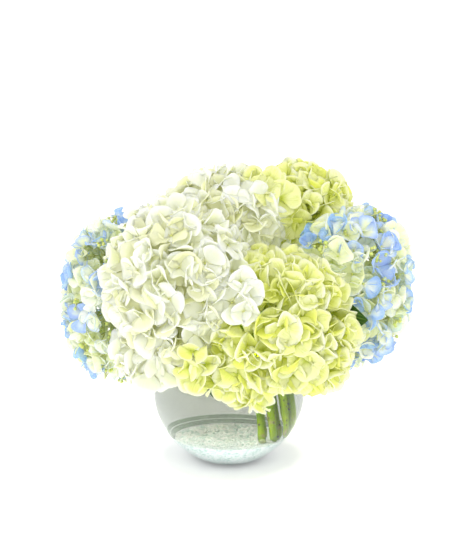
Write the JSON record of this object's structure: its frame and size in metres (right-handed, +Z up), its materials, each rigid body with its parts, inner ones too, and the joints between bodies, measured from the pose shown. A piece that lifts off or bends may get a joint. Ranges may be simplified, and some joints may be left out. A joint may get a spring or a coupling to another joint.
{
  "type": "flower arrangement in a glass bowl vase",
  "caption": "Mophead hydrangea cuttings in white, green and blue, standing in a round glass bowl of water on a bed of glass grit.",
  "frame": {"origin": "middle of the bowl's foot, on the surface it stands on", "axes": "+Z up, +X to the right along the arrangement's widest direction, -Y towards its front"},
  "size_m": [0.3578, 0.283, 0.3035],
  "materials": {
    "bowl_glass": "clear, polished, faint green tint",
    "water": "clear water",
    "grit": "fine pale mint-white frosted glass grit",
    "stalk": "smooth yellow-green with dark flecks",
    "white_florets": "soft matt petals, cream to greenish in the hollows",
    "green_florets": "soft matt chartreuse petals with pale edges",
    "blue_florets": "soft matt petals, blue at the edges and cream in the middle",
    "leaf": "dark green, slightly glossy, veined"
  },
  "bodies": {
    "root": {"glass_bowl": "bowl_glass", "water": "water", "grit_bed": "grit", "stem_white_front": "stalk", "stem_white_top": "stalk", "stem_white_low": "stalk", "stem_white_back": "stalk", "stem_green_front": "stalk", "stem_green_top": "stalk", "stem_green_back": "stalk", "stem_blue_right": "stalk", "stem_blue_left": "stalk", "head_white_front": "white_florets", "head_white_top": "white_florets", "head_white_low": "white_florets", "head_white_back": "white_florets", "head_green_front": "green_florets", "head_green_top": "green_florets", "head_green_back": "green_florets", "head_blue_right": "blue_florets", "head_blue_left": "blue_florets", "leaf_front": "leaf", "leaf_left": "leaf", "leaf_back": "leaf", "leaf_right": "leaf", "leaf_side": "leaf"}
  },
  "joints": []
}
